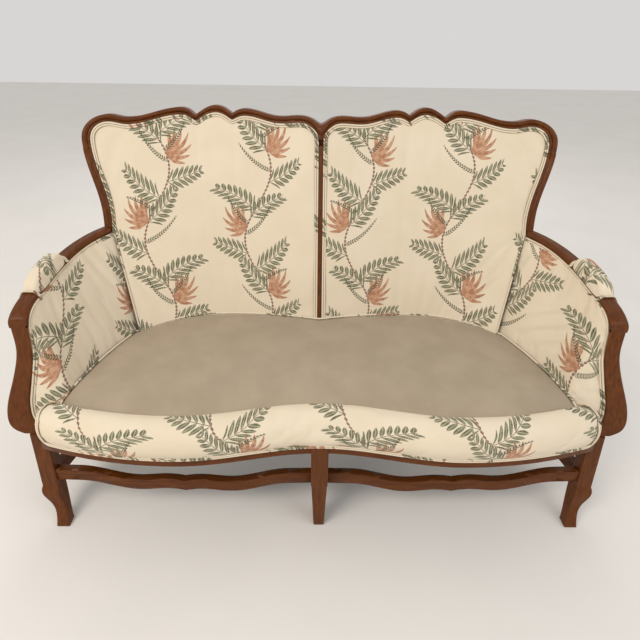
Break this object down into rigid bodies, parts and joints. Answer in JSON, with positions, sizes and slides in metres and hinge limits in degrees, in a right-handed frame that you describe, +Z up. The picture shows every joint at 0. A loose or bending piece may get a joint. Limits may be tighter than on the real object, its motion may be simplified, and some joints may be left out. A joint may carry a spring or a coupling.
{
  "type": "settee",
  "caption": "Show-wood settee with a scalloped crest, concave upholstered back, padded arms, serpentine front rail, shaped stretchers and a fixed sprung seat, its loose cushion off.",
  "frame": {"origin": "on the floor under the middle of the bounding box", "axes": "+X to the right as seen from the front, -Y to the front, +Z up"},
  "size_m": [1.519, 0.7406, 0.9193],
  "materials": {
    "show_wood": "satin varnish",
    "frame_wood": "plain",
    "print_fabric": "printed cotton",
    "deck_cloth": "plain weave",
    "lining": "non-woven",
    "webbing": "jute",
    "steel": "plated"
  },
  "bodies": {
    "root": {"arm_post_left": "show_wood", "arm_post_right": "show_wood", "arm_rail_left": "show_wood", "arm_rail_right": "show_wood", "back_post_left": "show_wood", "back_post_right": "show_wood", "center_stile": "show_wood", "crest_rail_left": "show_wood", "crest_rail_right": "show_wood", "front_leg_center": "show_wood", "front_leg_left": "show_wood", "front_leg_right": "show_wood", "front_seat_rail": "show_wood", "front_stretcher_left": "show_wood", "front_stretcher_right": "show_wood", "middle_stretcher": "show_wood", "rear_leg_center": "show_wood", "side_stretcher_left": "show_wood", "side_stretcher_right": "show_wood", "back_seat_rail": "frame_wood", "corner_blocks": "frame_wood", "dowels": "frame_wood", "middle_seat_rail": "frame_wood", "side_seat_rail_left": "frame_wood", "side_seat_rail_right": "frame_wood", "arm_pad_left": "print_fabric", "arm_pad_right": "print_fabric", "arm_panel_left": "print_fabric", "arm_panel_right": "print_fabric", "back_panel_left": "print_fabric", "back_panel_right": "print_fabric", "front_roll": "print_fabric", "outside_arm_left": "print_fabric", "outside_arm_right": "print_fabric", "outside_back_left": "print_fabric", "outside_back_right": "print_fabric", "seat_deck": "deck_cloth", "dust_cover": "lining", "seat_webbing_across": "webbing", "seat_webbing_along": "webbing", "block_screws": "steel", "glides": "steel"}
  },
  "joints": []
}
